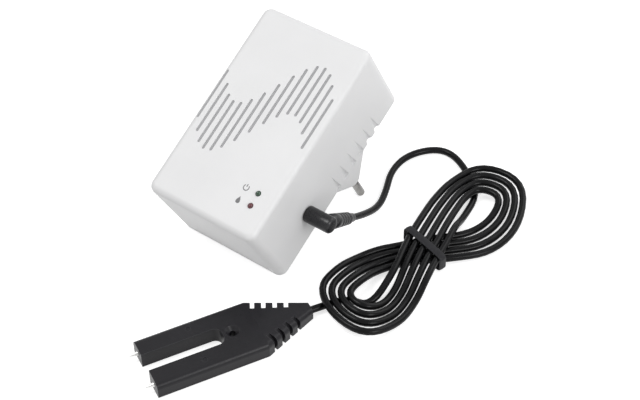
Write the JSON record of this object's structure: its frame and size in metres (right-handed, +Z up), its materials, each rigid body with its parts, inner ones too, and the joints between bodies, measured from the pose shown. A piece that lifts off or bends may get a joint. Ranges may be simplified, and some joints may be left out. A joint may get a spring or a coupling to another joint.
{
  "type": "water leak detector",
  "caption": "Mains plug-in alarm unit with a wave-shaped sounder grille and lamps, and a forked water probe on a thin lead bundled in a tied hank.",
  "frame": {"origin": "on the floor, under the middle of the box round the alarm unit and the probe", "axes": "+X across the alarm unit to its plug-in jack side, +Y from the probe towards the unit's raised head, +Z up"},
  "size_m": [0.1551, 0.2409, 0.1015],
  "materials": {
    "housing_plastic": "satin",
    "pin_metal": "polished",
    "screw_steel": "zinc plated",
    "carrier_plastic": "matte",
    "wire_red": "matte",
    "board_laminate": "satin",
    "core_iron": "varnished",
    "bobbin_plastic": "matte",
    "winding_copper": "enamelled",
    "fuse_glass": "clear",
    "contact_metal": "plain",
    "surge_coat": "matte",
    "component_black": "matte",
    "capacitor_sleeve": "gloss",
    "resistor_coat": "satin",
    "sounder_plastic": "matte",
    "disc_brass": "plain",
    "lamp_green": "gloss",
    "lamp_red": "gloss",
    "plug_metal": "nickel",
    "plug_plastic": "satin",
    "cord_jacket": "satin",
    "probe_plastic": "fine grain",
    "electrode_metal": "plain"
  },
  "bodies": {
    "alarm_unit": {"front_housing": "housing_plastic", "rear_cover": "housing_plastic", "housing_screws": "screw_steel", "mains_pin_left": "pin_metal", "mains_pin_right": "pin_metal", "pin_carrier": "carrier_plastic", "carrier_screw": "screw_steel", "mains_wires": "wire_red", "circuit_board": "board_laminate", "board_screws": "screw_steel", "transformer_core": "core_iron", "transformer_bobbin": "bobbin_plastic", "transformer_winding": "winding_copper", "fuse_body": "fuse_glass", "fuse_clips": "contact_metal", "surge_disc": "surge_coat", "rectifier_diodes": "component_black", "smoothing_capacitor": "capacitor_sleeve", "filter_capacitors": "capacitor_sleeve", "voltage_regulator": "component_black", "alarm_chip": "component_black", "driver_transistor": "component_black", "resistors": "resistor_coat", "sounder_case": "sounder_plastic", "sounder_disc": "disc_brass", "sounder_screws": "screw_steel", "sounder_wires": "wire_red", "indicator_board": "board_laminate", "indicator_screws": "screw_steel", "indicator_wires": "wire_red", "green_led": "lamp_green", "red_led": "lamp_red", "jack_socket": "component_black", "jack_tags": "contact_metal"},
    "sensor_lead": {"plug_sleeve": "plug_metal", "plug_insulator": "component_black", "plug_tip": "plug_metal", "plug_body": "plug_plastic", "plug_strain_relief": "plug_plastic", "lead_upper": "cord_jacket", "lead_hank": "cord_jacket", "hank_tie": "plug_plastic", "lead_lower": "cord_jacket", "probe_body": "probe_plastic", "electrode_left": "electrode_metal", "electrode_right": "electrode_metal", "probe_cores": "winding_copper"}
  },
  "joints": [
    {"name": "jack_pull", "type": "slide", "parent": "alarm_unit", "child": "sensor_lead", "axis": [1, 0, 0], "range_m": [0, 0.016]}
  ]
}
